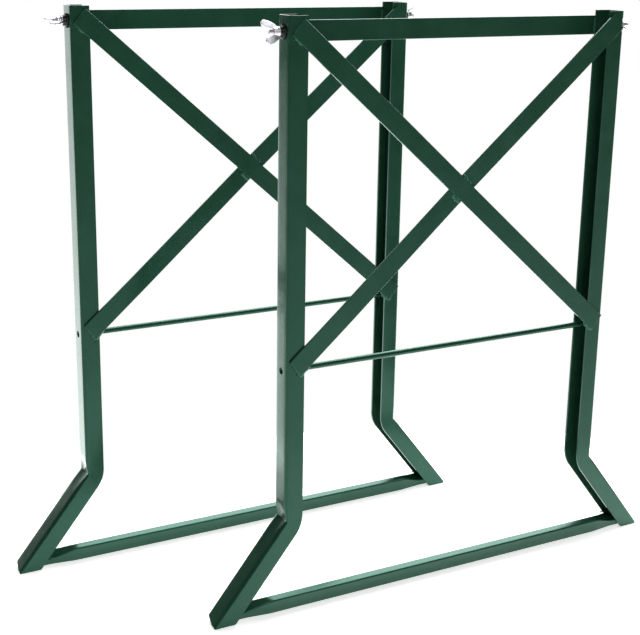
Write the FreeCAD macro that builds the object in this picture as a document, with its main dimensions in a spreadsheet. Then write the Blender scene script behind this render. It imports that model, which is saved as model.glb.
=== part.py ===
"""Pair of welded trestle frames of a folding sawhorse, standing one behind the other.

Each frame is two bent U-channel uprights, a flat top bar, a crossed pair of flat braces, a round
rod and a bottom tube. A bolt, a washer and a wing nut near each top corner are the fold pivots.
Frame axes: X across the frame with 0 at its middle, Y from the front flange plane to the back,
Z up from the floor. Millimetres and degrees.
"""
import FreeCAD, Part
import os
import re
import Sketcher

SIZES = {
    # whole frame
    "frame_width": 500,
    "frame_height": 757,
    "bend_height": 127,
    "foot_spread": 102,
    "foot_slant": 15,
    "toe_clip": 3,
    # upright channel
    "channel_depth": 30,
    "flange_width": 25,
    "sheet_thick": 3,
    "outer_radius": 4,
    "flange_bend_radius": 45,
    # flat bars
    "strip_width": 25,
    "strip_thick": 3,
    "top_bar_drop": 7,
    "top_bar_inset": 4,
    "brace_reach": 239.5,
    "brace_top": 744.5,
    "brace_foot": 331,
    "joggle_flat": 18,
    "joggle_ramp": 200,
    # rod across the middle
    "rod_radius": 4,
    "rod_height": 326,
    "plug_radius": 4.5,
    "plug_length": 3,
    "plug_recess": 1,
    # bottom tube, a deep section between wide low ends
    "tube_depth": 12,
    "tube_height": 22,
    "tube_wall": 1.5,
    "tube_corner": 2.5,
    "tube_full_half": 268,
    "tube_end_start": 304,
    "tube_end_half": 331.5,
    "tube_end_front": 3,
    "tube_end_depth": 21,
    "tube_end_height": 11,
    # bolts, washers and wing nuts
    "bolt_radius": 3,
    "bolt_height": 738,
    "bolt_length": 22,
    "bolt_tip": 0.8,
    "head_radius": 7.5,
    "head_thick": 4.5,
    "head_dome": 3.8,
    "radial_play": 0.05,
    "axial_play": 0.1,
    "washer_radius": 9,
    "washer_thick": 5.8,
    "hub_radius": 6.5,
    "hub_tip_radius": 5,
    "hub_length": 9,
    "wing_reach": 16,
    "wing_height": 21,
    "wing_thick": 2.6,
    "wing_corner": 2.5,
    # how far each wing nut is turned, its upper wing leaning towards +Y
    "front_left_spin": 35,
    "front_right_spin": 65,
    "rear_left_spin": 80,
    "rear_right_spin": -25,
    # where the second frame stands, seen from the first
    "pair_left": 172,
    "pair_back": 260,
}

SPLAY = "atan(foot_spread / bend_height)"
FRAMES = (("front", 1), ("rear", -1))
SIDES = (("left", -1), ("right", 1))
CUT_MARGIN = 5
FEATURE_STATES = {"Invalid", "Error"}

doc = FreeCAD.newDocument("trestle_pair")
sheet = doc.addObject("Spreadsheet::Sheet", "Dims")
pieces = []


def fill_sheet():
    for row, (name, size) in enumerate(SIZES.items(), start=1):
        sheet.set(f"A{row}", name)
        sheet.set(f"B{row}", str(size))
        sheet.setAlias(f"B{row}", name)
    doc.recompute()


def bound(formula):
    """The formula with each size written as a cell of the sheet."""
    return re.sub(r"[a-z_]+", lambda word: cell_name(word.group()), formula)


def cell_name(word):
    return f"Dims.{word}" if word in SIZES else word


def number(formula):
    return float(sheet.evalExpression(bound(formula)))


def bind(item, prop, formula):
    item.setExpression(prop, bound(formula))


def origin_plane(body, role):
    return next(item for item in body.Origin.OriginFeatures if item.Role == role)


def draw_outline(sketch, corners):
    """Closed outline through corners, each held by two lengths that follow the sheet."""
    points = [FreeCAD.Vector(number(across), number(up), 0) for across, up in corners]
    for index, point in enumerate(points):
        following = points[(index + 1) % len(points)]
        sketch.addGeometry(Part.LineSegment(point, following))
    for index in range(len(points)):
        following = (index + 1) % len(points)
        sketch.addConstraint(Sketcher.Constraint("Coincident", index, 2, following, 1))
    for index, (across, up) in enumerate(corners):
        for direction, formula in (("DistanceX", across), ("DistanceY", up)):
            held = Sketcher.Constraint(direction, -1, 1, index, 1, number(formula))
            place = sketch.addConstraint(held)
            bind(sketch, f"Constraints[{place}]", formula)


def body_sketch(body, name, role, lift=None):
    """Sketch on one of the body's origin planes, lifted off it along the plane's normal."""
    sketch = body.newObject("Sketcher::SketchObject", f"{body.Name}_{name}")
    sketch.AttachmentSupport = [(origin_plane(body, role), "")]
    sketch.MapMode = "FlatFace"
    if lift:
        bind(sketch, "AttachmentOffset.Base.z", lift)
    return sketch


def outline(body, name, role, corners, lift=None):
    sketch = body_sketch(body, name, role, lift)
    draw_outline(sketch, corners)
    return sketch


def circle(body, name, centre, radius):
    """Circle on the body's YZ plane, its centre and radius following the sheet."""
    sketch = body_sketch(body, name, "YZ_Plane")
    across, up = centre
    middle = FreeCAD.Vector(number(across), number(up), 0)
    sketch.addGeometry(Part.Circle(middle, FreeCAD.Vector(0, 0, 1), number(radius)))
    sizes = (
        (Sketcher.Constraint("DistanceX", -1, 1, 0, 3, middle.x), across),
        (Sketcher.Constraint("DistanceY", -1, 1, 0, 3, middle.y), up),
        (Sketcher.Constraint("Radius", 0, number(radius)), radius),
    )
    for held, formula in sizes:
        place = sketch.addConstraint(held)
        bind(sketch, f"Constraints[{place}]", formula)
    return sketch


def feature(body, kind, name, sketch, length, centred=False):
    """Pad or Pocket of a sketch, along +Y for a sketch on the XZ plane."""
    made = body.newObject(f"PartDesign::{kind}", f"{body.Name}_{name}")
    made.Profile = sketch
    bind(made, "Length", length)
    made.Midplane = centred
    sketch.Visibility = False
    return made


def pad_back(body, name, sketch, length):
    pad = feature(body, "Pad", name, sketch, length)
    pad.Reversed = True
    doc.recompute()
    return pad


def pocket_back(body, name, sketch, length):
    """Pocket towards +Y; a pocket cuts against its sketch's normal, which here is -Y."""
    pocket = feature(body, "Pocket", name, sketch, length)
    doc.recompute()
    return pocket


def pocket_across(body, name, sketch, length):
    pocket = feature(body, "Pocket", name, sketch, length, centred=True)
    doc.recompute()
    return pocket


def revolve(body, name, corners):
    """Profile of radius and height, turned round the body's Z axis."""
    sketch = outline(body, f"{name}_profile", "XZ_Plane", corners)
    turned = body.newObject("PartDesign::Revolution", f"{body.Name}_{name}")
    turned.Profile = sketch
    turned.ReferenceAxis = (sketch, ["V_Axis"])
    turned.Angle = 360
    doc.recompute()
    return turned


def edges_where(shape, wanted):
    """Names of the edges whose middle point and direction pass the test."""
    names = []
    for index, edge in enumerate(shape.Edges, start=1):
        middle = edge.valueAt((edge.FirstParameter + edge.LastParameter) / 2)
        if wanted(middle, edge):
            names.append(f"Edge{index}")
    return names


def round_edges(body, name, base, wanted, radius):
    fillet = body.newObject("PartDesign::Fillet", f"{body.Name}_{name}")
    fillet.Base = (base, edges_where(base.Shape, wanted))
    bind(fillet, "Radius", radius)
    doc.recompute()
    return fillet


def new_body(label):
    body = doc.addObject("PartDesign::Body", label)
    body.Label = label
    return body


def finish_piece(item, label, end, position, turns=()):
    """Put a piece at its place in the frame, and the frame at its place in the pair."""
    across, back, up = position
    bind(item, "Placement.Base.x", f"{end} * pair_left / 2 + ({across})")
    bind(item, "Placement.Base.y", f"-{end} * pair_back / 2 - channel_depth / 2 + ({back})")
    bind(item, "Placement.Base.z", up)
    for prop, formula in turns:
        bind(item, f"Placement.Rotation.{prop}", formula)
    item.Label = label
    pieces.append(item)


def along_y(edge):
    return isinstance(edge.Curve, Part.Line) and abs(edge.tangentAt(edge.FirstParameter).y) > 0.99


def make_upright(label, end, side):
    """U-channel, web outwards, bent out into a foot that is cut on a slant in depth."""
    body = new_body(label)
    web = "frame_width / 2"
    toe = f"{web} + foot_spread * (bend_height - toe_clip) / bend_height"
    heel = f"{web} + foot_spread - flange_width / cos({SPLAY})"
    edge = f"{web} - flange_width"
    crease = f"bend_height - flange_width * tan({SPLAY} / 2)"
    profile = [
        (web, "frame_height"),
        (web, "bend_height"),
        (toe, "toe_clip"),
        (toe, "0"),
        (heel, "0"),
        (edge, crease),
        (edge, "frame_height"),
    ]
    block = pad_back(body, "block", side_outline(body, "profile", profile, side), "channel_depth")
    inner_bend = round_edges(
        body, "inner_bend", block,
        lambda middle, item: along_y(item) and is_near(middle, side, edge, crease),
        "flange_bend_radius")
    rounded = round_edges(
        body, "web_radius", inner_bend,
        lambda middle, item: not along_y(item) and on_web_corner(middle, side),
        "outer_radius")
    hollow_channel(body, side, rounded)
    cut_foot(body)
    for name, height, radius in (
            ("bolt_hole", "bolt_height", "bolt_radius + radial_play"),
            ("rod_hole", "rod_height", "plug_radius")):
        drawn = circle(body, f"{name}_circle", ("channel_depth / 2", height), radius)
        pocket_across(body, name, drawn, "2 * frame_width")
    finish_piece(body, label, end, ("0", "0", "0"))


def side_outline(body, name, corners, side, lift=None):
    mirrored = [(f"{side} * ({across})", up) for across, up in corners]
    return outline(body, name, "XZ_Plane", mirrored, lift)


def is_near(middle, side, across, up):
    return abs(middle.x - side * number(across)) < 0.5 and abs(middle.z - number(up)) < 0.5


def on_web_corner(middle, side):
    """True on the web's two long corners, at the front and back planes."""
    depth = number("channel_depth")
    if min(abs(middle.y), abs(middle.y - depth)) > 0.01:
        return False
    across = side * middle.x
    slope = number("foot_spread / bend_height")
    foot_line = number("frame_width / 2 + foot_spread") - middle.z * slope
    straight = abs(across - number("frame_width / 2")) < 0.01 and middle.z > number("bend_height")
    splayed = abs(across - foot_line) < 0.01 and number("toe_clip") < middle.z < number("bend_height")
    return straight or splayed


def hollow_channel(body, side, base):
    web = "frame_width / 2 - sheet_thick"
    open_side = "frame_width / 2 - 4 * flange_width"
    above = f"frame_height + {CUT_MARGIN}"
    floor_line = f"frame_width / 2 + foot_spread - sheet_thick / cos({SPLAY})"
    under = f"{floor_line} + {CUT_MARGIN} * tan({SPLAY})"
    corners = [
        (web, above),
        (web, f"bend_height - sheet_thick * tan({SPLAY} / 2)"),
        (under, f"-{CUT_MARGIN}"),
        (open_side, f"-{CUT_MARGIN}"),
        (open_side, above),
    ]
    drawn = side_outline(body, "hollow_profile", corners, side, lift="-sheet_thick")
    pocket_back(body, "hollow", drawn, "channel_depth - 2 * sheet_thick")
    if body.Shape.Volume > 0.7 * base.Shape.Volume:
        raise RuntimeError(f"{body.Label}: the channel was not hollowed")


def cut_foot(body):
    """Slanted floor cut: the front edge touches the floor and the back edge is clear of it."""
    back = f"channel_depth + {CUT_MARGIN}"
    corners = [
        (f"-{CUT_MARGIN}", f"-{CUT_MARGIN} * tan(foot_slant)"),
        (back, f"({back}) * tan(foot_slant)"),
        (back, f"-{2 * CUT_MARGIN}"),
        (f"-{CUT_MARGIN}", f"-{2 * CUT_MARGIN}"),
    ]
    drawn = outline(body, "foot_wedge", "YZ_Plane", corners)
    pocket_across(body, "foot_cut", drawn, "4 * frame_width")


def make_top_bar(label, end):
    bar = doc.addObject("Part::Box", label)
    bind(bar, "Length", "frame_width - 2 * top_bar_inset")
    bind(bar, "Width", "strip_thick")
    bind(bar, "Height", "strip_width")
    low = "frame_height - top_bar_drop - strip_width"
    finish_piece(bar, label, end, ("top_bar_inset - frame_width / 2", "channel_depth", low))


def make_brace(label, end, lean, joggled):
    """Flat bar from corner to corner; the joggled one eases back to pass behind the other."""
    body = new_body(label)
    half = "sqrt(brace_reach ^ 2 + ((brace_top - brace_foot) / 2) ^ 2)"
    ramp = "joggle_flat + joggle_ramp"
    front = [(f"-{half}", "-strip_thick"), (half, "-strip_thick")]
    back = [(half, "0"), (f"-{half}", "0")]
    if joggled:
        front[1:1] = [(f"-({ramp})", "-strip_thick"), ("-joggle_flat", "0"),
                      ("joggle_flat", "0"), (ramp, "-strip_thick")]
        back[1:1] = [(ramp, "0"), ("joggle_flat", "strip_thick"),
                     ("-joggle_flat", "strip_thick"), (f"-({ramp})", "0")]
    drawn = outline(body, "side_view", "XY_Plane", front + back)
    feature(body, "Pad", "strip", drawn, "strip_width", centred=True)
    doc.recompute()
    lean_angle = f"{lean} * atan((brace_top - brace_foot) / 2 / brace_reach)"
    finish_piece(body, label, end, ("0", "0", "(brace_top + brace_foot) / 2"),
                 (("Axis.x", "0"), ("Axis.y", "1"), ("Axis.z", "0"), ("Angle", lean_angle)))


def make_rod(label, end):
    """Round rod with a weld plug in the hole of each web."""
    body = new_body(label)
    tip = "frame_width / 2 - plug_recess"
    neck = f"{tip} - plug_length"
    revolve(body, "rod", [
        ("0", f"-({tip})"), ("plug_radius", f"-({tip})"), ("plug_radius", f"-({neck})"),
        ("rod_radius", f"-({neck})"), ("rod_radius", neck), ("plug_radius", neck),
        ("plug_radius", tip), ("0", tip)])
    finish_piece(body, label, end, ("0", "channel_depth / 2", "rod_height"), turned_across(1))


def turned_across(side):
    """Rotation that lays a body's Z axis along X, to the right or to the left."""
    return (("Axis.x", "0"), ("Axis.y", "1"), ("Axis.z", "0"), ("Angle", f"{side} * 90"))


def tube_section(name, across, front, depth, height, inset):
    """Eight-sided section of the tube at one place along it, inset evenly from its outside."""
    sketch = doc.addObject("Sketcher::SketchObject", name)
    near = f"{front} + {inset}"
    far = f"{front} + {depth} - {inset}"
    low = inset
    high = f"{height} - {inset}"
    corner = "tube_corner - tube_wall / 3"
    draw_outline(sketch, [
        (f"{near} + {corner}", low), (f"{far} - ({corner})", low),
        (far, f"{low} + {corner}"), (far, f"{high} - ({corner})"),
        (f"{far} - ({corner})", high), (f"{near} + {corner}", high),
        (near, f"{high} - ({corner})"), (near, f"{low} + {corner}")])
    bind(sketch, "Placement.Base.x", across)
    sketch.Placement = FreeCAD.Placement(
        FreeCAD.Vector(number(across), 0, 0),
        FreeCAD.Rotation(FreeCAD.Vector(0, 1, 0), FreeCAD.Vector(0, 0, 1), FreeCAD.Vector(1, 0, 0)))
    return sketch


def tube_loft(name, inset, overrun):
    """Outside or inside of the tube: low ends, short tapers and a deep middle."""
    end_size = ("tube_end_front", "tube_end_depth", "tube_end_height")
    full_size = ("0", "tube_depth", "tube_height")
    stations = (("tube_end_half" + overrun, end_size), ("tube_end_start", end_size),
                ("tube_full_half", full_size))
    sections = [tube_section(f"{name}_left_{index}", f"-({place})", *size, inset)
                for index, (place, size) in enumerate(stations)]
    sections += [tube_section(f"{name}_right_{index}", place, *size, inset)
                 for index, (place, size) in reversed(list(enumerate(stations)))]
    loft = doc.addObject("Part::Loft", name)
    loft.Sections = sections
    loft.Solid = True
    loft.Ruled = True
    return loft


def make_bottom_bar(label, end):
    """Tube along the foot cut, tipped with it, its ends pressed wide and low in the channels."""
    tube = doc.addObject("Part::Cut", label)
    tube.Base = tube_loft(f"{label}_outside", "0", "")
    tube.Tool = tube_loft(f"{label}_inside", "tube_wall", " + tube_wall")
    doc.recompute()
    finish_piece(tube, label, end, ("0", "sheet_thick", "sheet_thick * tan(foot_slant)"),
                 (("Axis.x", "1"), ("Axis.y", "0"), ("Axis.z", "0"), ("Angle", "foot_slant")))


def pivot_place(side, outwards):
    return (f"{side} * (frame_width / 2 + {outwards})", "channel_depth / 2", "bolt_height")


def make_bolt(label, end, side):
    """Round-headed bolt, its head inside the channel and its tip outside the wing nut."""
    body = new_body(label)
    shaft = revolve(body, "bolt", [
        ("0", "-head_thick"), ("head_radius", "-head_thick"), ("head_radius", "0"),
        ("bolt_radius", "0"), ("bolt_radius", "bolt_length - bolt_tip"),
        ("bolt_radius - bolt_tip", "bolt_length"), ("0", "bolt_length")])
    rim = number("head_thick")
    round_edges(body, "dome", shaft,
                lambda middle, item: abs(middle.z + rim) < 0.01 and isinstance(item.Curve, Part.Circle),
                "head_dome")
    finish_piece(body, label, end, pivot_place(side, "-sheet_thick - axial_play"),
                 turned_across(side))


def make_washer(label, end, side):
    body = new_body(label)
    bore = "bolt_radius + 4 * radial_play"
    revolve(body, "disc", [
        (bore, "0"), ("washer_radius", "0"), ("washer_radius", "washer_thick"),
        (bore, "washer_thick")])
    finish_piece(body, label, end, pivot_place(side, "axial_play"), turned_across(side))


def make_wing_nut(label, end, side, spin):
    """Tapered hub with two flared wings, bored for the bolt and turned by its own spin."""
    body = new_body(label)
    revolve(body, "hub", [
        ("0", "0"), ("hub_radius", "0"), ("hub_tip_radius", "hub_length"), ("0", "hub_length")])
    tip_low = "wing_height / 2"
    neck = "hub_tip_radius / 2"
    half = [(neck, "1"), ("hub_radius + 1", "1"), ("wing_reach", tip_low),
            ("wing_reach", "wing_height - wing_corner"),
            ("wing_reach - wing_corner", "wing_height"),
            ("hub_tip_radius + 2 * wing_corner", "wing_height"),
            ("hub_tip_radius", "hub_length - 1"), (neck, "hub_length - 1")]
    for name, sign in (("wing_up", -1), ("wing_down", 1)):
        corners = [(f"{sign} * ({radius})", height) for radius, height in half]
        drawn = outline(body, f"{name}_view", "XZ_Plane", corners)
        turn_about_height(drawn, f"-{side} * {spin}")
        feature(body, "Pad", name, drawn, "wing_thick", centred=True)
        doc.recompute()
    bore_nut(body)
    play = "washer_thick + 2 * axial_play"
    finish_piece(body, label, end, pivot_place(side, play), turned_across(side))


def turn_about_height(sketch, angle):
    """Turn a sketch on the XZ plane about the body's Z axis, its own second axis."""
    one_degree = FreeCAD.Rotation(FreeCAD.Vector(0, 1, 0), 1)
    sketch.AttachmentOffset = FreeCAD.Placement(FreeCAD.Vector(), one_degree)
    bind(sketch, "AttachmentOffset.Rotation.Angle", angle)


def bore_nut(body):
    sketch = body_sketch(body, "bore_circle", "XY_Plane")
    radius = "bolt_radius + radial_play"
    sketch.addGeometry(Part.Circle(FreeCAD.Vector(), FreeCAD.Vector(0, 0, 1), number(radius)))
    sketch.addConstraint(Sketcher.Constraint("Coincident", 0, 3, -1, 1))
    place = sketch.addConstraint(Sketcher.Constraint("Radius", 0, number(radius)))
    bind(sketch, f"Constraints[{place}]", radius)
    pocket_across(body, "bore", sketch, "4 * wing_height")


def make_frame(place, end):
    for side_name, side in SIDES:
        make_upright(f"{place}_{side_name}_upright", end, side)
        make_bolt(f"{place}_{side_name}_bolt", end, side)
        make_washer(f"{place}_{side_name}_washer", end, side)
        make_wing_nut(f"{place}_{side_name}_wing_nut", end, side, f"{place}_{side_name}_spin")
    make_top_bar(f"{place}_top_bar", end)
    make_bottom_bar(f"{place}_bottom_bar", end)
    make_rod(f"{place}_mid_rod", end)
    make_brace(f"{place}_straight_brace", end, 1, joggled=False)
    make_brace(f"{place}_joggled_brace", end, -1, joggled=True)


def check_document():
    for item in doc.Objects:
        failed = FEATURE_STATES.intersection(item.State)
        if failed:
            raise RuntimeError(f"{item.Label}: {sorted(failed)}")
    for piece in pieces:
        if piece.Shape.isNull() or not piece.Shape.isValid():
            raise RuntimeError(f"{piece.Label}: bad shape")


def export_pieces():
    os.makedirs("parts", exist_ok=True)
    for piece in pieces:
        piece.Shape.exportStep(f"parts/{piece.Label}.step")


fill_sheet()
for frame_place, frame_end in FRAMES:
    make_frame(frame_place, frame_end)
doc.recompute()
check_document()
export_pieces()
for piece in pieces:
    box = piece.Shape.BoundBox
    print(f"{piece.Label}: volume {piece.Shape.Volume / 1000:.1f} cm3, "
          f"x {box.XMin:.1f} {box.XMax:.1f}, y {box.YMin:.1f} {box.YMax:.1f}, "
          f"z {box.ZMin:.1f} {box.ZMax:.1f}")
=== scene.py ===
"""Looks of the folding sawhorse pair: detailed pieces in place of the plain CAD solids.

Every frame is built in its own axes in millimetres (X across with 0 at the middle, Y from the
front flange plane backwards, Z up) and then set down where the CAD frame stands.
"""

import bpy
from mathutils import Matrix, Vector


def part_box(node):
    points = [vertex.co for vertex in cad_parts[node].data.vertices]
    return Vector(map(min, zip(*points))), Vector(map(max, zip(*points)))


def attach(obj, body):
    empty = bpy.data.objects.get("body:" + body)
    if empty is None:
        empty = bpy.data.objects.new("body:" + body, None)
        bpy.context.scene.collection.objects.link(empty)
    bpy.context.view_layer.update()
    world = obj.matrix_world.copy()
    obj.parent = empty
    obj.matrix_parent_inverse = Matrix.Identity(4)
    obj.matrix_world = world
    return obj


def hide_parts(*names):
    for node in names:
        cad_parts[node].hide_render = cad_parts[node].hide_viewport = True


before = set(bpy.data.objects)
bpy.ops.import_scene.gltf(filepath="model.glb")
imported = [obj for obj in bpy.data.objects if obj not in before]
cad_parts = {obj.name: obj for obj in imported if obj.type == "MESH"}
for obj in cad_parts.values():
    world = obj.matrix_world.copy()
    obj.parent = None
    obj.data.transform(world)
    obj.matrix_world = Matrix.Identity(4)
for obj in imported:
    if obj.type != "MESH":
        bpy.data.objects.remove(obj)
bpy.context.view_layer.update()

import bmesh
import bpy
import math
import random
from mathutils import Matrix, Vector, noise

MM = 0.001

# upright channel
HALF_WIDTH = 250.0
HEIGHT = 757.0
DEPTH = 30.0
FLANGE = 25.0
SHEET = 3.0
OUTER_RADIUS = 4.0
INNER_RADIUS = 1.0
BEND_HEIGHT = 127.0
FOOT_SPREAD = 102.0
TOE_CLIP = 3.0
FOOT_SLANT = math.radians(15.0)
SPLAY = math.atan(FOOT_SPREAD / BEND_HEIGHT)
CREASE_RADIUS = 2.0
FLANGE_BEND_RADIUS = 45.0
EDGE_ROUND = 0.5
BUCKLE_DEPTH = 4.2
BUCKLE_LOW = BEND_HEIGHT - 4.0
BUCKLE_TOP = BEND_HEIGHT + 16.0
BUCKLE_TILT = 6.0

# flat bars, rod and tube
STRIP = 25.0
STRIP_THICK = 3.0
TOP_BAR_DROP = 7.0
TOP_BAR_HALF = 246.0
BRACE_REACH = 239.5
BRACE_TOP = 744.5
BRACE_FOOT = 331.0
BRACE_RISE = (BRACE_TOP - BRACE_FOOT) / 2
BRACE_MIDDLE = (BRACE_TOP + BRACE_FOOT) / 2
BRACE_HALF = math.hypot(BRACE_REACH, BRACE_RISE)
BRACE_SLOPE = math.atan2(BRACE_RISE, BRACE_REACH)
JOGGLE_FLAT = 18.0
JOGGLE_RAMP = 200.0
ROD_RADIUS = 4.0
ROD_HEIGHT = 326.0
PLUG_RADIUS = 4.5
TUBE_WALL = 1.5
TUBE_CORNER = 2.5

# welds: how far out and how high on a flange a bead may start
WELD_REACH = 243.0
WELD_TOP = 747.0

# pivot bolts, washers and wing nuts
BOLT_HEIGHT = 738.0
BOLT_RADIUS = 3.0
PLAY = 0.1
WASHER_RADIUS = 9.0
WASHER_THICK = 5.8
NUT_SPIN = {"front_left": 35, "front_right": 65, "rear_left": 80, "rear_right": -25}

FRAMES = ("front", "rear")
SIDES = {"left": -1, "right": 1}


# ---------------------------------------------------------------- mesh helpers

def frame_origin(place):
    """Where a frame's own axes stand in the row frame, from its two CAD uprights."""
    left_low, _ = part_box(f"{place}_left_upright")
    _, right_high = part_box(f"{place}_right_upright")
    return Vector(((left_low[0] + right_high[0]) / 2, left_low[1], 0.0))


def arc(centre, radius, start, end, steps):
    """Points on an arc, angles in degrees."""
    points = []
    for index in range(steps + 1):
        angle = math.radians(start + (end - start) * index / steps)
        points.append((centre[0] + radius * math.cos(angle), centre[1] + radius * math.sin(angle)))
    return points


def rounded_rectangle(low, high, radius, steps=4):
    """Closed section with round corners, running anticlockwise from the lower right one."""
    (x0, y0), (x1, y1) = low, high
    return (arc((x1 - radius, y0 + radius), radius, -90, 0, steps)
            + arc((x1 - radius, y1 - radius), radius, 0, 90, steps)
            + arc((x0 + radius, y1 - radius), radius, 90, 180, steps)
            + arc((x0 + radius, y0 + radius), radius, 180, 270, steps))


def loft(rings, cap="fan", closed=False):
    """Mesh through rings of equally many points; the ends are capped or joined to each other."""
    mesh = bmesh.new()
    loops = [[mesh.verts.new(Vector(point) * MM) for point in ring] for ring in rings]
    count = len(loops[0])
    pairs = list(zip(loops, loops[1:]))
    if closed:
        pairs.append((loops[-1], loops[0]))
    for lower, upper in pairs:
        for index in range(count):
            following = (index + 1) % count
            mesh.faces.new((lower[index], lower[following], upper[following], upper[index]))
    if not closed:
        for loop in (loops[0], loops[-1]):
            cap_loop(mesh, loop, cap)
    bmesh.ops.recalc_face_normals(mesh, faces=mesh.faces)
    return mesh


def cap_loop(mesh, loop, cap):
    """One face over the loop, or a strip that joins its two halves across a thin section."""
    if cap == "fan":
        mesh.faces.new(loop)
        return
    count = len(loop)
    for index in range(count // 2 - 1):
        mesh.faces.new((loop[index], loop[index + 1], loop[count - 2 - index],
                        loop[count - 1 - index]))


def lathe(profile, steps=64):
    """Mesh turned round the Z axis from (radius, height) points that start and end on the axis."""
    mesh = bmesh.new()
    ends = [mesh.verts.new((0, 0, profile[0][1] * MM)), mesh.verts.new((0, 0, profile[-1][1] * MM))]
    rings = []
    for radius, height in profile[1:-1]:
        ring = []
        for index in range(steps):
            angle = 2 * math.pi * index / steps
            ring.append(mesh.verts.new(Vector((radius * math.cos(angle), radius * math.sin(angle),
                                               height)) * MM))
        rings.append(ring)
    for lower, upper in zip(rings, rings[1:]):
        for index in range(steps):
            following = (index + 1) % steps
            mesh.faces.new((lower[index], lower[following], upper[following], upper[index]))
    for end, ring in zip(ends, (rings[0], rings[-1])):
        for index in range(steps):
            mesh.faces.new((end, ring[index], ring[(index + 1) % steps]))
    bmesh.ops.recalc_face_normals(mesh, faces=mesh.faces)
    return mesh


def make_object(name, mesh, sharp=35.0):
    """Object in the scene out of a bmesh, smooth except at edges sharper than the angle."""
    data = bpy.data.meshes.new(name)
    mesh.to_mesh(data)
    mesh.free()
    made = bpy.data.objects.new(name, data)
    bpy.context.scene.collection.objects.link(made)
    smooth(made, sharp)
    return made


def smooth(made, sharp):
    made.data.shade_smooth()
    made.data.set_sharp_from_angle(angle=math.radians(sharp))


def bake_modifiers(made):
    """Apply every modifier to the object's own mesh."""
    graph = bpy.context.evaluated_depsgraph_get()
    data = bpy.data.meshes.new_from_object(made.evaluated_get(graph))
    made.modifiers.clear()
    made.data = data


def bore(made, radius, start, end):
    """Drill a round hole between two points in millimetres."""
    start, end = Vector(start) * MM, Vector(end) * MM
    mesh = bmesh.new()
    bmesh.ops.create_cone(mesh, cap_ends=True, segments=48, radius1=radius * MM,
                          radius2=radius * MM, depth=(end - start).length)
    drill = make_object("drill", mesh)
    turn = (end - start).to_track_quat("Z", "Y")
    drill.matrix_world = Matrix.Translation((start + end) / 2) @ turn.to_matrix().to_4x4()
    cut = made.modifiers.new("bore", "BOOLEAN")
    cut.operation = "DIFFERENCE"
    cut.solver = "EXACT"
    cut.object = drill
    bpy.context.view_layer.update()
    bake_modifiers(made)
    bpy.data.objects.remove(drill)


def even_shading(made):
    """Shade by face area, so that flats stay flat beside their rounded edges."""
    weigh = made.modifiers.new("weigh", "WEIGHTED_NORMAL")
    weigh.keep_sharp = True
    weigh.weight = 90
    bpy.context.view_layer.update()
    bake_modifiers(made)


def settle(made, place, body, material, replaced=(), turn=None):
    """Set a piece down in the row frame, with its place in its mesh, and hang it on its body."""
    even_shading(made)
    made.data.transform(Matrix.Translation(frame_origin(place)) @ (turn or Matrix.Identity(4)))
    made.data.materials.clear()
    made.data.materials.append(material)
    if replaced:
        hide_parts(*replaced)
    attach(made, body)


# ---------------------------------------------------------------- materials

def new_material(name):
    material = bpy.data.materials.new(name)
    material.use_nodes = True
    nodes = material.node_tree.nodes
    return material, nodes, material.node_tree.links, nodes["Principled BSDF"]


def noise_node(nodes, links, scale, detail=4.0, rough=0.5, stretch=None):
    """Noise in object coordinates, in features per metre."""
    place = nodes.new("ShaderNodeTexCoord")
    made = nodes.new("ShaderNodeTexNoise")
    made.inputs["Scale"].default_value = scale
    made.inputs["Detail"].default_value = detail
    made.inputs["Roughness"].default_value = rough
    source = place.outputs["Object"]
    if stretch:
        mapping = nodes.new("ShaderNodeMapping")
        mapping.inputs["Scale"].default_value = stretch
        links.new(source, mapping.inputs["Vector"])
        source = mapping.outputs["Vector"]
    links.new(source, made.inputs["Vector"])
    return made


def ramp_node(nodes, links, source, stops):
    ramp = nodes.new("ShaderNodeValToRGB")
    elements = ramp.color_ramp.elements
    while len(elements) < len(stops):
        elements.new(0.5)
    for element, (position, colour) in zip(elements, stops):
        element.position = position
        element.color = (*colour, 1.0)
    links.new(source, ramp.inputs["Fac"])
    return ramp


def grey(value):
    return (value, value, value)


def mix_colours(nodes, links, factor, low, high):
    """Mix of two colour sockets or plain colours."""
    mix = nodes.new("ShaderNodeMix")
    mix.data_type = "RGBA"
    links.new(factor, mix.inputs["Factor"])
    for socket, value in (("A", low), ("B", high)):
        target = [item for item in mix.inputs if item.name == socket and item.type == "RGBA"][0]
        if isinstance(value, tuple):
            target.default_value = (*value, 1.0)
        else:
            links.new(value, target)
    return [item for item in mix.outputs if item.type == "RGBA"][0]


def bump_node(nodes, links, height, distance, strength, under=None):
    """Bump of a height socket, on top of another bump if one is given."""
    bump = nodes.new("ShaderNodeBump")
    bump.inputs["Distance"].default_value = distance
    bump.inputs["Strength"].default_value = strength
    links.new(height, bump.inputs["Height"])
    if under:
        links.new(under.outputs["Normal"], bump.inputs["Normal"])
    return bump


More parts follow.
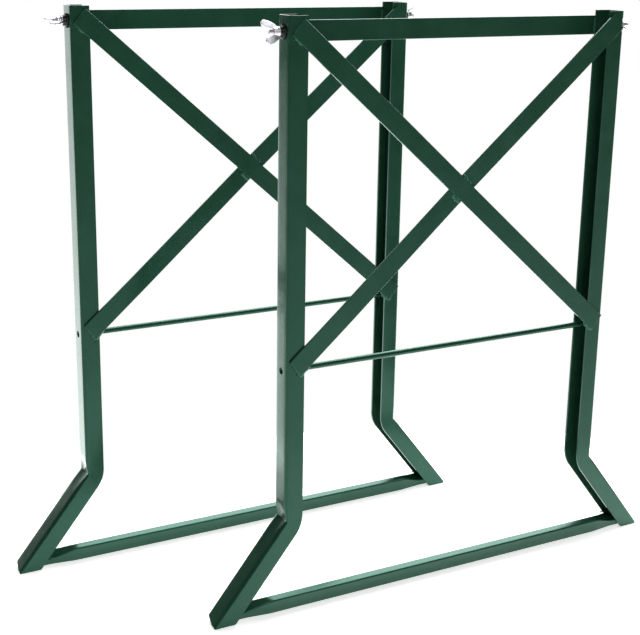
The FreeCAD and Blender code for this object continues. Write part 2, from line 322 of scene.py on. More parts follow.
def enamel(name, lightness, wave_scale, wave_height, wave_strength):
    """Semi-gloss dark green enamel: faintly mottled tone, orange peel, dust specks and scuffs."""
    material, nodes, links, shader = new_material(name)
    mottle = noise_node(nodes, links, 30.0)
    tones = ((0.25, (0.0140, 0.057, 0.031)), (0.55, (0.0165, 0.064, 0.036)),
             (0.80, (0.020, 0.072, 0.042)))
    tone = ramp_node(nodes, links, mottle.outputs["Fac"],
                     [(place, tuple(part * lightness for part in colour)) for place, colour in tones])
    scuffs = noise_node(nodes, links, 420.0, 6.0, 0.7, stretch=(1.0, 1.0, 0.3))
    scuff_mask = ramp_node(nodes, links, scuffs.outputs["Fac"], [(0.68, grey(0.0)), (0.80, grey(0.4))])
    specks = noise_node(nodes, links, 900.0, 2.0, 0.5)
    speck_mask = ramp_node(nodes, links, specks.outputs["Fac"], [(0.78, grey(0.0)), (0.84, grey(0.5))])
    scuffed = mix_colours(nodes, links, scuff_mask.outputs["Color"], tone.outputs["Color"],
                          (0.045, 0.11, 0.08))
    specked = mix_colours(nodes, links, speck_mask.outputs["Color"], scuffed, (0.12, 0.2, 0.17))
    links.new(specked, shader.inputs["Base Color"])
    gloss = ramp_node(nodes, links, mottle.outputs["Fac"], [(0.3, grey(0.16)), (0.75, grey(0.24))])
    links.new(gloss.outputs["Color"], shader.inputs["Roughness"])
    peel = noise_node(nodes, links, 650.0, 2.0)
    waves = noise_node(nodes, links, wave_scale, 2.0)
    fine = bump_node(nodes, links, peel.outputs["Fac"], 0.0002, 0.22)
    broad = bump_node(nodes, links, waves.outputs["Fac"], wave_height, wave_strength, under=fine)
    links.new(broad.outputs["Normal"], shader.inputs["Normal"])
    shader.inputs["Specular IOR Level"].default_value = 0.6
    shader.inputs["Specular Tint"].default_value = (0.42, 1.0, 0.82, 1.0)
    return material


def green_paint():
    return enamel("green_paint", 1.0, 60.0, 0.0006, 0.12)


def weld_paint_with_painted_reflection():
    """The same enamel over a weld, lumpier, with its tone made 1.7 times lighter as a painted
    reflection.
    """
    # The 1.7 lightness is painted reflection: the beads' tone is lightened to stand in for light they
    # reflect.
    return enamel("green_weld_painted_reflection", 1.7, 420.0, 0.0006, 0.30)


def zinc_plate():
    """Bright zinc on the nuts and bolts: pale metal with fine rolling marks and dull patches."""
    material, nodes, links, shader = new_material("zinc")
    shader.inputs["Metallic"].default_value = 1.0
    patches = noise_node(nodes, links, 240.0)
    tone = ramp_node(nodes, links, patches.outputs["Fac"], [
        (0.3, (0.74, 0.75, 0.79)), (0.7, (0.93, 0.93, 0.95))])
    links.new(tone.outputs["Color"], shader.inputs["Base Color"])
    gloss = ramp_node(nodes, links, patches.outputs["Fac"], [(0.3, grey(0.48)), (0.7, grey(0.34))])
    links.new(gloss.outputs["Color"], shader.inputs["Roughness"])
    grain = noise_node(nodes, links, 1800.0, 3.0)
    bump = bump_node(nodes, links, grain.outputs["Fac"], 0.0001, 0.3)
    links.new(bump.outputs["Normal"], shader.inputs["Normal"])
    return material


def black_plastic():
    """Moulded black washer: satin with a fine grain and greyer worn patches."""
    material, nodes, links, shader = new_material("black_washer")
    patches = noise_node(nodes, links, 180.0)
    tone = ramp_node(nodes, links, patches.outputs["Fac"], [
        (0.35, (0.003, 0.006, 0.005)), (0.75, (0.007, 0.012, 0.011))])
    shader.inputs["Specular IOR Level"].default_value = 0.4
    links.new(tone.outputs["Color"], shader.inputs["Base Color"])
    gloss = ramp_node(nodes, links, patches.outputs["Fac"], [(0.3, grey(0.22)), (0.7, grey(0.34))])
    links.new(gloss.outputs["Color"], shader.inputs["Roughness"])
    grain = noise_node(nodes, links, 2500.0, 2.0)
    bump = bump_node(nodes, links, grain.outputs["Fac"], 0.0001, 0.3)
    links.new(bump.outputs["Normal"], shader.inputs["Normal"])
    return material


# ---------------------------------------------------------------- uprights

def channel_section(inset=0.0):
    """U section as (inward, depth) points: outside from free edge to free edge, then inside back.

    An inset draws every face in by that much, for the rounded rim of a sawn end.
    """
    low, high = inset, DEPTH - inset
    free = FLANGE - inset
    rim = EDGE_ROUND
    wall = SHEET - inset
    near, far = low + wall - inset, high - wall + inset
    web_parts, flange_parts = (0.3, 0.4, 0.5, 0.6, 0.7), (0.7, 0.4)
    outside = [(free - rim * 0.3, low + rim * 0.3), (free - rim, low)]
    outside += [(free * part, low) for part in flange_parts]
    outside += [(OUTER_RADIUS + inset - x, y) for x, y in
                corner_points(OUTER_RADIUS, low + OUTER_RADIUS, -1)]
    outside += [(inset, DEPTH * part) for part in web_parts]
    outside += [(OUTER_RADIUS + inset - x, y) for x, y in
                reversed(corner_points(OUTER_RADIUS, high - OUTER_RADIUS, 1))]
    outside += [(free * part, high) for part in reversed(flange_parts)]
    outside += [(free - rim, high), (free - rim * 0.3, high - rim * 0.3)]
    inside = [(free - rim * 0.3, near - rim * 0.3), (free - rim, near)]
    inside += [(free * part, near) for part in flange_parts]
    inside += [(wall + INNER_RADIUS - x, y) for x, y in
               corner_points(INNER_RADIUS, near + INNER_RADIUS, -1)]
    inside += [(wall, DEPTH * part) for part in web_parts]
    inside += [(wall + INNER_RADIUS - x, y) for x, y in
               reversed(corner_points(INNER_RADIUS, far - INNER_RADIUS, 1))]
    inside += [(free * part, far) for part in reversed(flange_parts)]
    inside += [(free - rim, far), (free - rim * 0.3, far + rim * 0.3)]
    return outside + inside[::-1]


def corner_points(radius, centre_depth, sign, steps=5):
    """Quarter round as (towards the web, depth) points, from the flange face to the web."""
    points = []
    for index in range(steps + 1):
        angle = math.pi / 2 * index / steps
        points.append((radius * math.sin(angle), centre_depth + sign * radius * math.cos(angle)))
    return points


def bend_radius(inward):
    """The web folds sharply and the flanges' free edges follow a wide curve."""
    return CREASE_RADIUS + (FLANGE_BEND_RADIUS - CREASE_RADIUS) * inward / FLANGE


def path_point(inward, station, foot_end):
    """Point of one fibre of the channel, as (across, height).

    station runs 0-1 down the straight part, 1-2 round the bend and 2-3 down the foot.
    """
    radius = bend_radius(inward)
    tangent = radius * math.tan(SPLAY / 2)
    corner_x = HALF_WIDTH - inward
    corner_z = BEND_HEIGHT - inward * math.tan(SPLAY / 2)
    if station <= 1:
        start, end = HEIGHT, corner_z + tangent
        return corner_x, start + (end - start) * station
    if station <= 2:
        turned = SPLAY * (station - 1)
        centre_x = corner_x + radius
        return (centre_x - radius * math.cos(turned),
                corner_z + tangent - radius * math.sin(turned))
    start_x = corner_x + tangent * math.sin(SPLAY)
    start_z = corner_z - tangent * math.cos(SPLAY)
    run = (start_z - foot_end[1]) * (station - 2)
    return start_x + run * math.tan(SPLAY), start_z - run


def foot_limit(inward, depth):
    """Where a fibre meets the slanted floor cut or the clipped toe, as (across, height)."""
    floor = depth * math.tan(FOOT_SLANT)
    corner_x = HALF_WIDTH - inward
    corner_z = BEND_HEIGHT - inward * math.tan(SPLAY / 2)
    clip_x = HALF_WIDTH + FOOT_SPREAD - TOE_CLIP * math.tan(SPLAY)
    clip_z = corner_z - (clip_x - corner_x) / math.tan(SPLAY)
    low = max(floor, clip_z)
    return corner_x + (corner_z - low) * math.tan(SPLAY), low


def buckle(inward, depth, height, lean):
    """The web's fold at the bend: a dent above the crease, higher at one edge than the other."""
    if inward > SHEET + 0.01:
        return 0.0
    side = (depth - DEPTH / 2) / (DEPTH / 2)
    body = max(0.0, 1.0 - abs(side) ** 3.0)
    top = BUCKLE_TOP + BUCKLE_TILT * side * lean
    if not BUCKLE_LOW < height < top:
        return 0.0
    part = (height - BUCKLE_LOW) / (top - BUCKLE_LOW)
    shape = math.sin(math.pi * part ** 0.75)
    return BUCKLE_DEPTH * body * shape


def make_upright(place, side_name, materials):
    """Pressed channel: straight, bent with a buckled web, splayed foot, then two drilled holes."""
    side = SIDES[side_name]
    name = f"{place}_{side_name}_upright"
    rings = []
    lean = 1.0 if side < 0 else -0.6
    stations = [0.0, 0.0012] + [step / 8 for step in range(1, 7)]
    stations += [0.8 + 0.2 * step / 14 for step in range(1, 15)]
    stations += [1 + step / 12 for step in range(1, 13)]
    stations += [2 + step / 10 for step in range(1, 10)] + [2.992, 3.0]
    full, drawn_in = channel_section(), channel_section(0.4)
    for station in stations:
        rim = station in (0.0, 3.0)
        ring = []
        for (inward, depth), (rim_in, rim_depth) in zip(full, drawn_in):
            if rim:
                inward, depth = rim_in, rim_depth
            across, height = path_point(inward, station, foot_limit(inward, depth))
            across -= buckle(inward, depth, height, lean)
            ring.append((side * across, depth, height))
        rings.append(ring)
    made = make_object(name, loft(rings, cap="strip"), 40.0)
    for height, radius in ((BOLT_HEIGHT, BOLT_RADIUS + 0.05), (ROD_HEIGHT, PLUG_RADIUS)):
        inner = side * (HALF_WIDTH - 2 * SHEET)
        outer = side * (HALF_WIDTH + SHEET)
        bore(made, radius, (inner, DEPTH / 2, height), (outer, DEPTH / 2, height))
    smooth(made, 40.0)
    settle(made, place, f"{place}_frame", materials["paint"], (name,))


# ---------------------------------------------------------------- flat bars, rod and tube

def strip_rings(half_length, stations, offset):
    """Rings along a flat bar with rounded edges and corners; offset gives its depth."""
    corner = 2.0
    rings = []
    for along in stations:
        from_end = half_length - abs(along)
        inset = corner - math.sqrt(max(0.0, corner ** 2 - max(0.0, corner - from_end) ** 2))
        rim = 0.35 if from_end < 0.01 else 0.0
        half = STRIP / 2 - inset - rim
        section = rounded_rectangle((-half, rim), (half, STRIP_THICK - rim), 0.6, 3)
        middle = offset(along)
        rings.append([(along, middle + depth, across) for across, depth in section])
    return rings


def strip_stations(half_length, extra=()):
    """Where a bar's rings stand: close together at the ends, even between them."""
    ends = [half_length - step for step in (0.0, 0.35, 0.9, 2.0)]
    even = [half_length * (step / 20 - 1) for step in range(2, 39)]
    places = {-end for end in ends} | set(ends) | set(even) | set(extra)
    return sorted(places)


def joggle(along):
    """How far a bar has eased back on its way behind the bar that it crosses."""
    start = JOGGLE_FLAT + JOGGLE_RAMP
    part = min(1.0, max(0.0, (start - abs(along)) / JOGGLE_RAMP))
    return STRIP_THICK * part


def make_brace(place, kind, lean, materials):
    """Diagonal flat bar on the front flanges; lean is 1 when its left end is the high one."""
    name = f"{place}_{kind}_brace"
    step_back = joggle if kind == "joggled" else (lambda along: 0.0)
    extra = [sign * (JOGGLE_FLAT + part * JOGGLE_RAMP) for part in (0, 1) for sign in (-1, 1)]
    rings = strip_rings(BRACE_HALF, strip_stations(BRACE_HALF, extra),
                        lambda along: step_back(along) - STRIP_THICK)
    made = make_object(name, loft(rings), 50.0)
    middle = Vector((0, 0, BRACE_MIDDLE)) * MM
    turn = Matrix.Translation(middle) @ Matrix.Rotation(lean * BRACE_SLOPE, 4, "Y")
    settle(made, place, f"{place}_frame", materials["paint"], (name,), turn)


def make_top_bar(place, materials):
    name = f"{place}_top_bar"
    rings = strip_rings(TOP_BAR_HALF, strip_stations(TOP_BAR_HALF), lambda along: DEPTH)
    made = make_object(name, loft(rings), 50.0)
    middle = Vector((0, 0, HEIGHT - TOP_BAR_DROP - STRIP / 2)) * MM
    settle(made, place, f"{place}_frame", materials["paint"], (name,),
           Matrix.Translation(middle))


def make_rod(place, materials):
    """Round rod between the webs, with thicker dished ends that fill the webs' holes."""
    name = f"{place}_mid_rod"
    tip = HALF_WIDTH - 1.0
    shoulder = 3.0
    profile = [(0.0, -tip + 2.6), (2.6, -tip + 2.4), (3.7, -tip + 1.6), (4.1, -tip + 0.3),
               (PLUG_RADIUS - 0.2, -tip), (PLUG_RADIUS, -tip + 0.3), (PLUG_RADIUS, -tip + 2.4),
               (ROD_RADIUS, -tip + shoulder)]
    spans = [(ROD_RADIUS, -tip + shoulder + 2 * (tip - shoulder) * step / 24)
             for step in range(1, 24)]
    mirrored = [(radius, -height) for radius, height in reversed(profile)]
    made = make_object(name, lathe(profile + spans + mirrored, 32), 40.0)
    turn = (Matrix.Translation(Vector((0, DEPTH / 2, ROD_HEIGHT)) * MM)
            @ Matrix.Rotation(math.pi / 2, 4, "Y"))
    settle(made, place, f"{place}_frame", materials["paint"], (name,), turn)


TUBE_STATIONS = (
    # half length, front, depth, height
    (331.5, 3.0, 21.0, 11.0),
    (306.0, 3.0, 21.0, 11.0),
    (302.0, 2.9, 20.6, 11.3),
    (296.0, 2.4, 18.7, 13.2),
    (286.0, 1.5, 15.8, 16.6),
    (276.0, 0.6, 13.2, 20.3),
    (270.0, 0.1, 12.1, 21.8),
    (264.0, 0.0, 12.0, 22.0),
)


def tube_ring(across, front, depth, height, inset):
    """Closed section of the tube at one place, drawn in by inset for its inner skin."""
    radius = TUBE_CORNER - inset
    section = rounded_rectangle((front + inset, inset), (front + depth - inset, height - inset),
                                radius, 5)
    return [(across, into, up) for into, up in section]


def make_bottom_bar(place, materials):
    """Tube with ends pressed wide and low; outside there and inside back, joined at both ends."""
    name = f"{place}_bottom_bar"
    left = [(-across, *rest) for across, *rest in TUBE_STATIONS]
    full_section = TUBE_STATIONS[-1][1:]
    middle = [(across, *full_section) for across in range(-240, 241, 40)]
    right = [(across, *rest) for across, *rest in reversed(TUBE_STATIONS)]
    stations = left + middle + right
    outside = [tube_ring(*station, 0.0) for station in stations]
    inside = [tube_ring(*station, TUBE_WALL) for station in reversed(stations)]
    made = make_object(name, loft(outside + inside, closed=True), 32.0)
    lift = Vector((0, SHEET, SHEET * math.tan(FOOT_SLANT))) * MM
    turn = Matrix.Translation(lift) @ Matrix.Rotation(FOOT_SLANT, 4, "X")
    settle(made, place, f"{place}_frame", materials["paint"], (name,), turn)


# ---------------------------------------------------------------- welds

def weld_bead(points, radius, seed, outwards):
    """Rippled half-round bead along a path; its ripples overlap like coins."""
    path = [Vector(point) for point in points]
    lengths = [(b - a).length for a, b in zip(path, path[1:])]
    total = sum(lengths)
    steps = max(8, int(total / 0.55))
    out = Vector(outwards).normalized()
    rings = []
    for index in range(steps + 1):
        along = total * index / steps
        centre, heading = point_along(path, lengths, along)
        across = heading.cross(out).normalized()
        taper = min(1.0, math.sin(math.pi * min(1.0, (along + 0.4) / (total + 0.8))) * 2.6)
        ripple = 1.0 + 0.13 * math.sin(along * 2 * math.pi / 1.9)
        lump = 1.0 + 0.28 * noise.noise(Vector((along * 0.32, seed * 7.3, 0.0)))
        size = radius * max(0.12, taper) * ripple * lump
        wander = across * (0.35 * radius * noise.noise(Vector((along * 0.2, seed * 3.1, 5.0))))
        ring = []
        for turn in range(12):
            angle = 2 * math.pi * turn / 12
            lift = math.sin(angle) * (0.62 if math.sin(angle) > 0 else 0.3)
            ring.append(centre + wander + across * (size * math.cos(angle)) + out * (size * lift))
        rings.append(ring)
    return loft(rings)


def point_along(path, lengths, distance):
    """Point at a distance along a path, and the direction of the path there."""
    for start, end, length in zip(path, path[1:], lengths):
        if distance <= length or end is path[-1]:
            heading = (end - start).normalized()
            return start + heading * min(distance, length), heading
        distance -= length
    return path[-1], (path[-1] - path[-2]).normalized()


def join_meshes(parts):
    """One mesh out of several separate shells."""
    whole = bmesh.new()
    for part in parts:
        data = bpy.data.meshes.new("part")
        part.to_mesh(data)
        part.free()
        whole.from_mesh(data)
        bpy.data.meshes.remove(data)
    return whole


def brace_end_welds(place):
    """A bead round each of the four brace ends, with spatter on the flange beside it."""
    lower_run, upper_run, bead_radius = 19.0, 6.0, 2.9
    spatter_reach, drops = 4.0, 4
    middle = Vector((0, -0.2, BRACE_MIDDLE))
    beads = []
    for number, (lean, end) in enumerate(((1, -1), (1, 1), (-1, -1), (-1, 1))):
        along = Vector((math.cos(BRACE_SLOPE), 0, -lean * math.sin(BRACE_SLOPE)))
        across = Vector((lean * math.sin(BRACE_SLOPE), 0, math.cos(BRACE_SLOPE)))
        tip = middle + along * (end * BRACE_HALF)
        lower, upper = tip - across * (STRIP / 2), tip + across * (STRIP / 2)
        path = [lower - along * (end * lower_run), lower, upper, upper - along * (end * upper_run)]
        seed = number * 2 + seed_shift(place)
        beads.append(weld_bead([on_flange(point) for point in path], bead_radius, seed, (0, -1, 0)))
        for corner, edge in ((lower, -1), (upper, 1)):
            centre = on_flange(corner + Vector((0, 0.3, edge * 3.0)))
            beads += spatter(centre, spatter_reach, drops, seed + edge)
    return beads


def on_flange(point):
    """The nearest place where a bead stays clear of the web's outside and of the sawn top."""
    return Vector((max(-WELD_REACH, min(WELD_REACH, point.x)), point.y, min(WELD_TOP, point.z)))


def seed_shift(place):
    """Keeps the two frames' welds from being copies of each other."""
    return 0 if place == "front" else 11


def spatter(centre, reach, count, seed):
    """Small drops of metal left on the face round a weld."""
    random.seed(seed)
    drops = []
    for _ in range(count):
        angle, distance = random.uniform(0, 2 * math.pi), reach * random.uniform(0.2, 1.0)
        drop = bmesh.new()
        bmesh.ops.create_icosphere(drop, subdivisions=2, radius=random.uniform(0.7, 1.3) * MM)
        place = centre + Vector((math.cos(angle), 0, math.sin(angle))) * distance
        bmesh.ops.translate(drop, vec=place * MM, verts=drop.verts)
        drops.append(drop)
    return drops


def crossing_welds(place):
    """Short beads on the rear bar of each crossing, along both edges of the bar in front."""
    half_length, bead_radius, seed = 9.0, 3.2, 50
    along = Vector((math.cos(BRACE_SLOPE), 0, -math.sin(BRACE_SLOPE)))
    across = Vector((math.sin(BRACE_SLOPE), 0, math.cos(BRACE_SLOPE)))
    middle = Vector((0, 0.0, BRACE_MIDDLE))
    beads = []
    for edge in (-1, 1):
        line = middle + across * (edge * (STRIP / 2 + 2.2)) - along * (edge * 1.5)
        beads.append(weld_bead([line - along * half_length, line + along * half_length], bead_radius,
                               seed + edge + seed_shift(place), (0, -1, edge * 0.5)))
    return beads


def top_bar_welds(place):
    """Upright beads where each back flange's free edge meets the top bar, and at the bar's ends."""
    low = HEIGHT - TOP_BAR_DROP - STRIP
    beads = []
    for number, side in enumerate((-1, 1)):
        inner = side * (HALF_WIDTH - FLANGE - 0.4)
        seed = number + 20 + seed_shift(place)
        beads.append(weld_bead([(inner, DEPTH - 0.7, low + 3), (inner, DEPTH - 0.7, low + STRIP - 3)],
                               1.6, seed, (-side, -1, 0)))
        beads.append(weld_bead([(side * 228, DEPTH + 0.8, low - 0.2),
                                (side * 244, DEPTH + 0.8, low - 0.2)],
                               1.5, seed + 4, (0, 1, -1)))
    return beads


def rod_welds(place):
    """A collar of weld round each rod end, against the inside of the web."""
    beads = []
    for number, side in enumerate((-1, 1)):
        across = side * (HALF_WIDTH - SHEET - 0.3)
        ring = [(across, DEPTH / 2 + y, ROD_HEIGHT + z)
                for y, z in arc((0.0, 0.0), ROD_RADIUS + 0.4, 0, 360, 18)]
        beads.append(weld_bead(ring, 1.5, number + 30 + seed_shift(place), (-side, 0, 0)))
    return beads


def tube_welds(place):
    """Beads where the tube's low ends meet both flanges' inner edges."""
    beads = []
    for number, side in enumerate((-1, 1)):
        seed = number + 40 + seed_shift(place)
        beads.append(weld_bead([(side * 309, 2.8, 11.5), (side * 320, 2.8, 11.8)], 1.4,
                               seed, (0, 0, 1)))
        beads.append(weld_bead([(side * 301, 27.2, 17.0), (side * 318, 27.2, 17.2)], 1.5,
                               seed + 3, (0, 0, 1)))
    return beads


def make_welds(place, materials):
    beads = []
    for weld in (brace_end_welds, crossing_welds, top_bar_welds, rod_welds, tube_welds):
        beads += weld(place)
    made = make_object(f"{place}_welds", join_meshes(beads), 60.0)
    settle(made, place, f"{place}_frame", materials["weld"])


# ---------------------------------------------------------------- bolts, washers and wing nuts

def pivot_turn(side, outwards):
    """A piece's Z axis laid along X, away from the frame, at the pivot."""
    place = Vector((side * (HALF_WIDTH + outwards), DEPTH / 2, BOLT_HEIGHT)) * MM
    return Matrix.Translation(place) @ Matrix.Rotation(side * math.pi / 2, 4, "Y")


def make_bolt(place, side_name, materials):
    """Round-headed bolt with a rolled thread."""
    side = SIDES[side_name]
    name = f"{place}_{side_name}_bolt"
    head = arc((0.0, 4.9), 9.4, -90, -37, 10)
    profile = [(0.0, -4.5)] + [(x, y) for x, y in head[1:]]
    profile = [(x, y) for x, y in profile if y < -0.8 and x < 7.4]
    profile += [(7.5, -0.7), (7.4, -0.15), (7.1, 0.0), (BOLT_RADIUS, 0.0)]
    made = make_object(name, threaded_pin(profile, 3.0, 22.0), 35.0)
    settle(made, place, f"{place}_{side_name}_bolt", materials["zinc"], (name,),
           pivot_turn(side, -SHEET - PLAY))


def threaded_pin(head, thread_start, length, pitch=1.0, steps=48):
    """Turned head and shank with a helical thread from thread_start to the tip."""
    mesh = bmesh.new()
    heights = [thread_start + (length - 0.8 - thread_start) * row / 110 for row in range(111)]
    profile = [(radius, height, 0.0) for radius, height in head[1:]]
    profile += [(BOLT_RADIUS, thread_start - 0.6, 0.0)]
    profile += [(BOLT_RADIUS, height, 0.55) for height in heights]
    profile += [(BOLT_RADIUS - 0.8, length, 0.0)]
    rings = []
    for radius, height, depth in profile:
        ring = []
        for index in range(steps):
            angle = 2 * math.pi * index / steps
            phase = (height / pitch - index / steps) % 1.0
            groove = depth * abs(2 * phase - 1)
            at = radius - groove
            point = Vector((at * math.cos(angle), at * math.sin(angle), height))
            ring.append(mesh.verts.new(point * MM))
        rings.append(ring)
    for lower, upper in zip(rings, rings[1:]):
        for index in range(steps):
            following = (index + 1) % steps
            mesh.faces.new((lower[index], lower[following], upper[following], upper[index]))
    first = mesh.verts.new(Vector((0, 0, head[0][1])) * MM)
    last = mesh.verts.new(Vector((0, 0, length)) * MM)
    for end, ring in ((first, rings[0]), (last, rings[-1])):
        for index in range(steps):
            mesh.faces.new((end, ring[index], ring[(index + 1) % steps]))
    bmesh.ops.recalc_face_normals(mesh, faces=mesh.faces)
    return mesh


def make_washer(place, side_name, materials):
    """Black flanged washer: a knurled rim on the web and a tapered collar up to the nut."""
    side = SIDES[side_name]
    name = f"{place}_{side_name}_washer"
    bore_radius = BOLT_RADIUS + 0.2
    rim, collar, step = WASHER_RADIUS, 6.7, 2.4
    outline = [(bore_radius, 0.4), (bore_radius + 0.4, 0.0), (rim - 0.6, 0.0)]
    outline += arc((rim - 0.5, 0.5), 0.5, -60, 0, 3)
    outline += arc((rim - 0.7, step - 0.7), 0.7, 0, 90, 4)
    outline += [(collar + 1.1, step), (collar + 0.5, step + 0.25), (collar + 0.25, step + 0.9)]
    outline += arc((collar - 0.7, WASHER_THICK - 0.7), 0.7, 10, 90, 4)
    outline += [(bore_radius + 0.4, WASHER_THICK), (bore_radius, WASHER_THICK - 0.4)]
    rings = []
    for index in range(144):
        angle = 2 * math.pi * index / 144
        knurl = (0.0, 0.3, 0.45, 0.3)[index % 4]
        ring = []
        for radius, height in outline:
            at = radius - knurl if radius > rim - 0.8 else radius
            ring.append((at * math.cos(angle), at * math.sin(angle), height))
        rings.append(ring)
    made = make_object(name, loft(rings, closed=True), 35.0)
    settle(made, place, f"{place}_{side_name}_bolt", materials["black"], (name,),
           pivot_turn(side, PLAY))


def wing_outline():
    """One wing in (radius, height): a drawn-out ear with a round tip."""
    lobe = arc((11.4, 15.9), 4.5, -35, 150, 14)
    return ([(2.0, 0.9), (6.4, 1.0), (9.8, 3.4), (13.6, 8.6)] + lobe
            + [(6.2, 14.4), (4.8, 10.6), (4.2, 7.6), (2.0, 7.4)])


def make_wing_nut(place, side_name, materials):
    """Cast wing nut: hub, collar and two wings melted into one skin, then bored."""
    side = SIDES[side_name]
    name = f"{place}_{side_name}_wing_nut"
    parts = [lathe([(0, 0), (6.0, 0), (6.5, 0.6), (6.4, 2.0), (5.6, 3.0), (5.1, 7.2), (4.6, 8.0),
                    (0, 8.0)])]
    for sign in (-1, 1):
        rings = []
        for across in (-1.25, -0.9, 0.9, 1.25):
            inset = 0.35 if abs(across) > 1 else 0.0
            rings.append([(sign * (radius - inset * 0.7), across, height - inset * 0.3)
                          for radius, height in wing_outline()])
        parts.append(loft(rings))
    made = make_object(name, join_meshes(parts))
    melt = made.modifiers.new("melt", "REMESH")
    melt.mode = "VOXEL"
    melt.voxel_size = 0.00036
    soften = made.modifiers.new("soften", "SMOOTH")
    soften.factor = 0.5
    soften.iterations = 5
    bpy.context.view_layer.update()
    bake_modifiers(made)
    bore(made, BOLT_RADIUS + 0.05, (0, 0, -1), (0, 0, 12))
    smooth(made, 50.0)
    spin = math.radians(-side * NUT_SPIN[f"{place}_{side_name}"])
    turn = pivot_turn(side, WASHER_THICK + 2 * PLAY) @ Matrix.Rotation(spin, 4, "Z")
    settle(made, place, f"{place}_{side_name}_wing_nut", materials["zinc"], (name,), turn)


# ---------------------------------------------------------------- stage, light and camera

def make_floor():
    """Plain pale floor under the object; beyond it the studio's own white surroundings go on."""
    mesh = bmesh.new()
    bmesh.ops.create_circle(mesh, cap_ends=True, segments=96, radius=0.5)
    floor = make_object("floor", mesh)
    floor.scale = (1.3, 1.05, 1.0)
    floor.location = (0.05, -0.1, -0.0002)
    material, _, _, shader = new_material("pale_floor")
    shader.inputs["Base Color"].default_value = (0.93, 0.93, 0.93, 1.0)
    shader.inputs["Roughness"].default_value = 0.9
    shader.inputs["Specular IOR Level"].default_value = 0.1
    shader.inputs["Emission Color"].default_value = (1.0, 1.0, 1.0, 1.0)
    shader.inputs["Emission Strength"].default_value = 0.6
    floor.data.materials.append(material)


def area_light(name, place, aim, size, power):
    """Rectangular light, with its sides in metres and its power in watts, turned to face aim."""
    data = bpy.data.lights.new(name, "AREA")
    data.shape = "RECTANGLE"
    data.size, data.size_y = size
    data.energy = power
    light = bpy.data.objects.new(name, data)
    light.location = place
    light.rotation_euler = (Vector(aim) - Vector(place)).to_track_quat("-Z", "Y").to_euler()
    bpy.context.scene.collection.objects.link(light)


def range_node(nodes, links, source, start, end, low, high):
    """Smooth step from low to high while the source goes from start to end."""
    made = nodes.new("ShaderNodeMapRange")
    made.interpolation_type = "SMOOTHSTEP"
    links.new(source, made.inputs["Value"])
    for name, value in (("From Min", start), ("From Max", end), ("To Min", low), ("To Max", high)):
        made.inputs[name].default_value = value
    return made.outputs["Result"]


def direction_node(nodes, links, direction, axis):
    """How far a direction points along an axis, from -1 to 1."""
    made = nodes.new("ShaderNodeVectorMath")
    made.operation = "DOT_PRODUCT"
    links.new(direction, made.inputs[0])
    made.inputs[1].default_value = axis
    return made.outputs["Value"]


def math_node(nodes, links, operation, first, second):
    made = nodes.new("ShaderNodeMath")
    made.operation = operation
    links.new(first, made.inputs[0])
    links.new(second, made.inputs[1])
    return made.outputs["Value"]


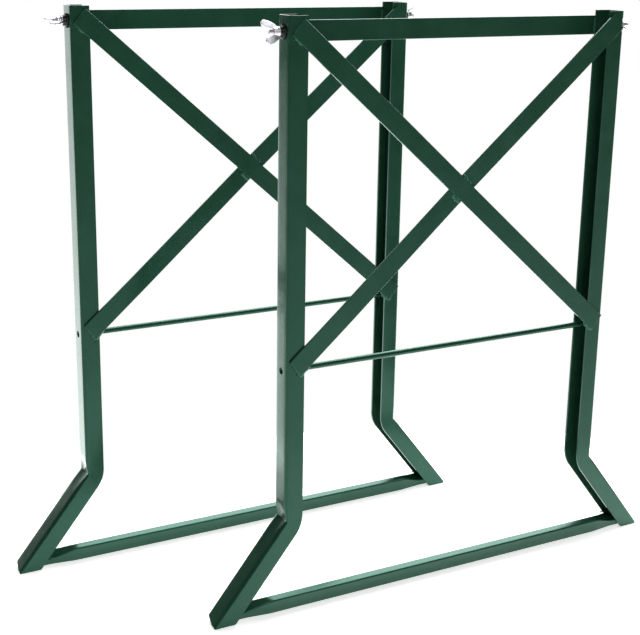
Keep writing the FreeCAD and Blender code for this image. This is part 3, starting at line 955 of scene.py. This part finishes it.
def make_world():
    """White studio: a pale table all round, bright behind, and a white wall behind the trestles."""
    world = bpy.data.worlds.new("studio")
    world.use_nodes = True
    nodes, links = world.node_tree.nodes, world.node_tree.links
    direction = nodes.new("ShaderNodeTexCoord").outputs["Generated"]
    downward = direction_node(nodes, links, direction, (0.0, 0.0, -1.0))
    behind = direction_node(nodes, links, direction, (0.49, 0.87, 0.0))
    table = range_node(nodes, links, downward, 0.05, 0.50, 0.04, 1.6)
    far_table = range_node(nodes, links, downward, 0.04, 0.32, 0.1, 2.5)
    on_far_side = range_node(nodes, links, behind, 0.30, 0.50, 0.0, 1.0)
    wall = range_node(nodes, links, behind, 0.52, 0.68, 0.0, 2.4)
    below_wall_top = range_node(nodes, links, downward, -0.60, -0.40, 0.0, 1.0)
    far = math_node(nodes, links, "MULTIPLY", far_table, on_far_side)
    lit_wall = math_node(nodes, links, "MULTIPLY", wall, below_wall_top)
    light = math_node(nodes, links, "ADD", table, math_node(nodes, links, "MAXIMUM", far, lit_wall))
    lit, seen = nodes["Background"], nodes.new("ShaderNodeBackground")
    lit.inputs["Color"].default_value = (1.0, 1.0, 1.0, 1.0)
    links.new(light, lit.inputs["Strength"])
    seen.inputs["Color"].default_value = (1.0, 1.0, 1.0, 1.0)
    seen.inputs["Strength"].default_value = 1.0
    mix = nodes.new("ShaderNodeMixShader")
    links.new(nodes.new("ShaderNodeLightPath").outputs["Is Camera Ray"], mix.inputs["Fac"])
    links.new(lit.outputs["Background"], mix.inputs[1])
    links.new(seen.outputs["Background"], mix.inputs[2])
    links.new(mix.outputs["Shader"], nodes["World Output"].inputs["Surface"])
    bpy.context.scene.world = world


def make_lights():
    """One large softbox high on the right, a little behind, and a small fill over the front."""
    area_light("softbox", (1.3, 0.85, 2.3), (0.0, 0.0, 0.2), (2.6, 2.6), 130.0)
    area_light("fill", (-0.6, -3.0, 2.6), (0.0, 0.0, 0.3), (1.1, 0.9), 22.0)


def make_camera():
    """Camera at the picture's place: position in metres, then heading, dip and roll in degrees."""
    heading, dip, roll = math.radians(29.36), math.radians(16.01), math.radians(0.94)
    focal_in_pixels, picture_width, sensor = 1316.3, 640.0, 36.0
    forward = Vector((math.sin(heading) * math.cos(dip), math.cos(heading) * math.cos(dip),
                      -math.sin(dip)))
    level = Vector((math.cos(heading), -math.sin(heading), 0.0))
    upward = level.cross(forward)
    right = level * math.cos(roll) + upward * math.sin(roll)
    up = upward * math.cos(roll) - level * math.sin(roll)
    data = bpy.data.cameras.new("camera")
    data.sensor_width = sensor
    data.lens = sensor * focal_in_pixels / picture_width
    camera = bpy.data.objects.new("camera", data)
    turn = Matrix((right, up, -forward)).transposed().to_4x4()
    camera.matrix_world = Matrix.Translation(Vector((-0.8831, -1.5046, 0.8407))) @ turn
    bpy.context.scene.collection.objects.link(camera)
    bpy.context.scene.camera = camera


# ---------------------------------------------------------------- the whole scene

def make_frame(place, materials):
    for side_name in SIDES:
        make_upright(place, side_name, materials)
        make_bolt(place, side_name, materials)
        make_washer(place, side_name, materials)
        make_wing_nut(place, side_name, materials)
    make_brace(place, "straight", 1, materials)
    make_brace(place, "joggled", -1, materials)
    make_top_bar(place, materials)
    make_rod(place, materials)
    make_bottom_bar(place, materials)
    make_welds(place, materials)


make_camera()
finishes = {"paint": green_paint(), "weld": weld_paint_with_painted_reflection(), "zinc": zinc_plate(), "black": black_plastic()}
for frame_place in FRAMES:
    make_frame(frame_place, finishes)
make_floor()
make_lights()
make_world()
bpy.context.scene.view_settings.view_transform = "Standard"
